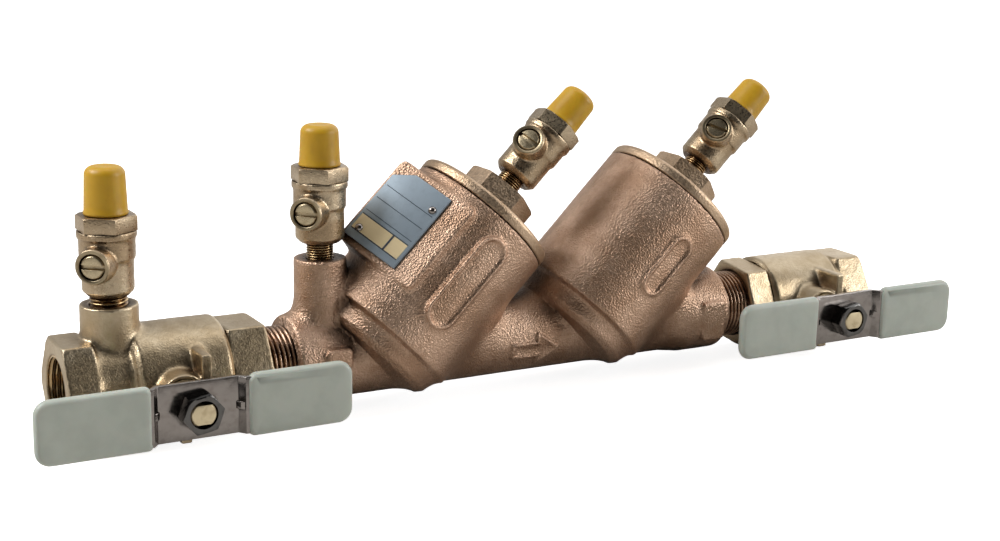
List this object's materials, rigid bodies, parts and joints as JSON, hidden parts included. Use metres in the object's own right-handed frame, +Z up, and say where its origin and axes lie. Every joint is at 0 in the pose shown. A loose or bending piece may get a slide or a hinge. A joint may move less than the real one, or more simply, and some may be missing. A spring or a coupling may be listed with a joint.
{
  "type": "backflow preventer",
  "caption": "Double check backflow preventer with leaning check towers, lever ball valves and capped test cocks.",
  "frame": {"origin": "centre of the inlet port's face", "axes": "+X along the pipe with the flow, +Z up, and the shut-off levers face -Y"},
  "size_m": [0.3893, 0.076, 0.1163],
  "materials": {
    "cast_bronze": "shot-blasted sand casting",
    "valve_brass": "tumbled forged brass",
    "cock_brass": "machined brass",
    "turned_brass": "bright turned brass",
    "chromed_ball": "polished",
    "stainless": "satin stainless steel",
    "plated_nut": "bright plated steel",
    "grip_vinyl": "dipped vinyl, satin",
    "nameplate_metal": "anodised, satin",
    "cap_plastic": "moulded polyethylene",
    "seal_rubber": "moulded rubber",
    "white_polymer": "machined polymer"
  },
  "bodies": {
    "root": {"check_body": "cast_bronze", "bonnet_1": "cast_bronze", "bonnet_2": "cast_bronze", "bonnet_seals": "seal_rubber", "nameplate": "nameplate_metal", "nameplate_rivets": "stainless", "check_seats": "turned_brass", "check_seat_seals": "seal_rubber", "poppet_guides": "white_polymer", "check_spring_1": "stainless", "check_spring_2": "stainless", "inlet_valve_body": "valve_brass", "inlet_valve_end": "valve_brass", "inlet_ball_seats": "white_polymer", "inlet_stem_packing": "white_polymer", "inlet_gland_nut": "turned_brass", "outlet_valve_body": "valve_brass", "outlet_valve_end": "valve_brass", "outlet_ball_seats": "white_polymer", "outlet_stem_packing": "white_polymer", "outlet_gland_nut": "turned_brass", "test_cock_1_body": "cock_brass", "test_cock_1_end": "cock_brass", "test_cock_2_body": "cock_brass", "test_cock_2_end": "cock_brass", "test_cock_3_body": "cock_brass", "test_cock_3_end": "cock_brass", "test_cock_4_body": "cock_brass", "test_cock_4_end": "cock_brass", "test_cock_seats": "white_polymer", "test_cock_stem_seals": "seal_rubber"},
    "inlet_lever_set": {"inlet_lever": "stainless", "inlet_lever_grips": "grip_vinyl", "inlet_lever_nut": "plated_nut", "inlet_stem": "turned_brass", "inlet_ball": "chromed_ball"},
    "outlet_lever_set": {"outlet_lever": "stainless", "outlet_lever_grips": "grip_vinyl", "outlet_lever_nut": "plated_nut", "outlet_stem": "turned_brass", "outlet_ball": "chromed_ball"},
    "poppet_1_set": {"poppet_1": "white_polymer", "seat_disc_1": "seal_rubber", "disc_retainer_1": "turned_brass"},
    "poppet_2_set": {"poppet_2": "white_polymer", "seat_disc_2": "seal_rubber", "disc_retainer_2": "turned_brass"},
    "test_cock_1_stem_set": {"test_cock_1_stem": "cock_brass", "test_cock_1_ball": "chromed_ball"},
    "cap_1": {"test_cock_1_cap": "cap_plastic"},
    "test_cock_2_stem_set": {"test_cock_2_stem": "cock_brass", "test_cock_2_ball": "chromed_ball"},
    "cap_2": {"test_cock_2_cap": "cap_plastic"},
    "test_cock_3_stem_set": {"test_cock_3_stem": "cock_brass", "test_cock_3_ball": "chromed_ball"},
    "cap_3": {"test_cock_3_cap": "cap_plastic"},
    "test_cock_4_stem_set": {"test_cock_4_stem": "cock_brass", "test_cock_4_ball": "chromed_ball"},
    "cap_4": {"test_cock_4_cap": "cap_plastic"}
  },
  "joints": [
    {"name": "inlet_lever_turn", "type": "hinge", "parent": "root", "child": "inlet_lever_set", "pos_m": [0.0368, 0, 0], "axis": [0, 1, 0], "range_deg": [0, 90]},
    {"name": "outlet_lever_turn", "type": "hinge", "parent": "root", "child": "outlet_lever_set", "pos_m": [0.3159, 0, 0], "axis": [0, 1, 0], "range_deg": [0, 90]},
    {"name": "poppet_1_lift", "type": "slide", "parent": "root", "child": "poppet_1_set", "axis": [0.7071, 0, 0.7071], "range_m": [0, 0.008], "stiffness_N_per_m": 250, "springref_m": -0.0125, "deforming": ["check_spring_1"]},
    {"name": "poppet_2_lift", "type": "slide", "parent": "root", "child": "poppet_2_set", "axis": [0.7071, 0, 0.7071], "range_m": [0, 0.008], "stiffness_N_per_m": 250, "springref_m": -0.0125, "deforming": ["check_spring_2"]},
    {"name": "test_cock_1_turn", "type": "hinge", "parent": "root", "child": "test_cock_1_stem_set", "pos_m": [0.0196, 0, 0.0448], "axis": [-0.6157, -0.788, 0], "range_deg": [0, 90]},
    {"name": "test_cock_2_turn", "type": "hinge", "parent": "root", "child": "test_cock_2_stem_set", "pos_m": [0.0984, 0, 0.0562], "axis": [-0.7071, -0.7071, 0], "range_deg": [0, 90]},
    {"name": "test_cock_3_turn", "type": "hinge", "parent": "root", "child": "test_cock_3_stem_set", "pos_m": [0.18795, 0, 0.07014], "axis": [-0.5417, -0.6428, 0.5417], "range_deg": [0, 90]},
    {"name": "test_cock_4_turn", "type": "hinge", "parent": "root", "child": "test_cock_4_stem_set", "pos_m": [0.27525, 0, 0.07014], "axis": [-0.5, -0.7071, 0.5], "range_deg": [-16, 74]},
    {"name": "cap_1_pull", "type": "slide", "parent": "root", "child": "cap_1", "axis": [0, 0, 1], "range_m": [0, 0.025]},
    {"name": "cap_2_pull", "type": "slide", "parent": "root", "child": "cap_2", "axis": [0, 0, 1], "range_m": [0, 0.025]},
    {"name": "cap_3_pull", "type": "slide", "parent": "root", "child": "cap_3", "axis": [0.7071, 0, 0.7071], "range_m": [0, 0.025]},
    {"name": "cap_4_pull", "type": "slide", "parent": "root", "child": "cap_4", "axis": [0.7071, 0, 0.7071], "range_m": [0, 0.025]}
  ]
}
